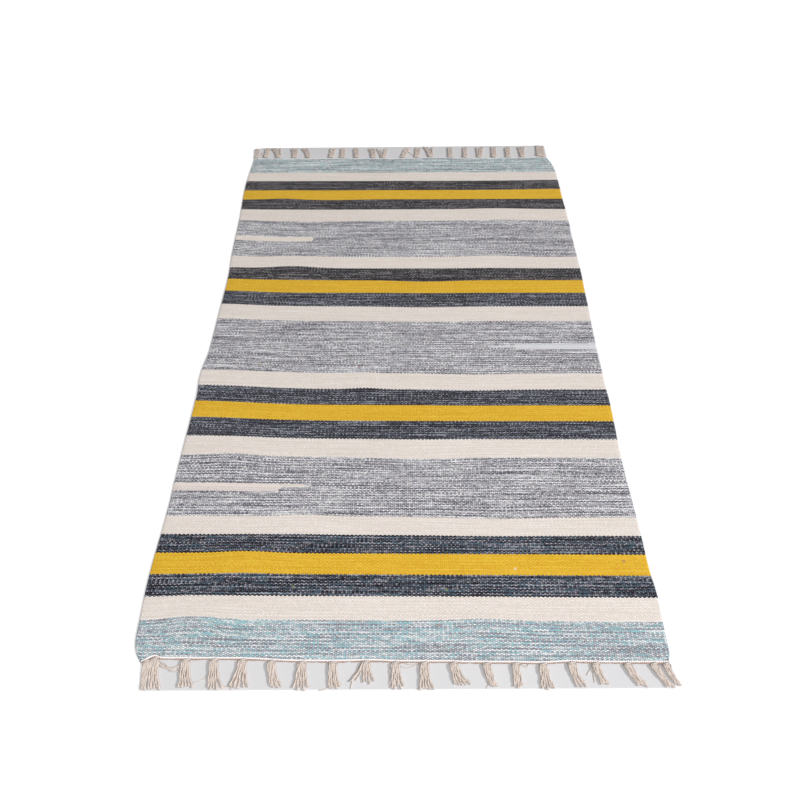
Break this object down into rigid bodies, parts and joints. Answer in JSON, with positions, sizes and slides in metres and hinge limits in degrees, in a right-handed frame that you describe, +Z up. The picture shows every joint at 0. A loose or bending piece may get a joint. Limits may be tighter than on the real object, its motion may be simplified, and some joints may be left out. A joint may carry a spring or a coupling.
{
  "type": "kilim rug",
  "caption": "Flat woven cotton rug with cross stripes in cream, yellow, charcoal, grey and pale blue, knotted tassels at both ends.",
  "frame": {"origin": "under the middle of the rug with its tassels, on the surface that it lies on", "axes": "+X across the rug from one selvedge to the other, +Y along its length to the far end, +Z up out of its face"},
  "size_m": [0.9192, 1.6166, 0.0054],
  "materials": {
    "cloth": "weft-faced cotton weave, striped in cream, yellow, charcoal, grey and pale blue, matt",
    "heading": "twined bleached cotton, matt",
    "tassel": "plied undyed cotton yarn, matt"
  },
  "bodies": {
    "root": {"far_heading": "heading", "far_tassel_01": "tassel", "far_tassel_02": "tassel", "far_tassel_03": "tassel", "far_tassel_04": "tassel", "far_tassel_05": "tassel", "far_tassel_06": "tassel", "far_tassel_07": "tassel", "far_tassel_08": "tassel", "far_tassel_09": "tassel", "far_tassel_10": "tassel", "far_tassel_11": "tassel", "far_tassel_12": "tassel", "far_tassel_13": "tassel", "far_tassel_14": "tassel", "far_tassel_15": "tassel", "far_tassel_16": "tassel", "far_tassel_17": "tassel", "far_tassel_18": "tassel", "far_tassel_19": "tassel", "far_tassel_20": "tassel", "far_tassel_21": "tassel", "near_heading": "heading", "near_tassel_01": "tassel", "near_tassel_02": "tassel", "near_tassel_03": "tassel", "near_tassel_04": "tassel", "near_tassel_05": "tassel", "near_tassel_06": "tassel", "near_tassel_07": "tassel", "near_tassel_08": "tassel", "near_tassel_09": "tassel", "near_tassel_10": "tassel", "near_tassel_11": "tassel", "near_tassel_12": "tassel", "near_tassel_13": "tassel", "near_tassel_14": "tassel", "near_tassel_15": "tassel", "near_tassel_16": "tassel", "near_tassel_17": "tassel", "near_tassel_18": "tassel", "near_tassel_19": "tassel", "near_tassel_20": "tassel", "woven_body": "cloth"}
  },
  "joints": []
}
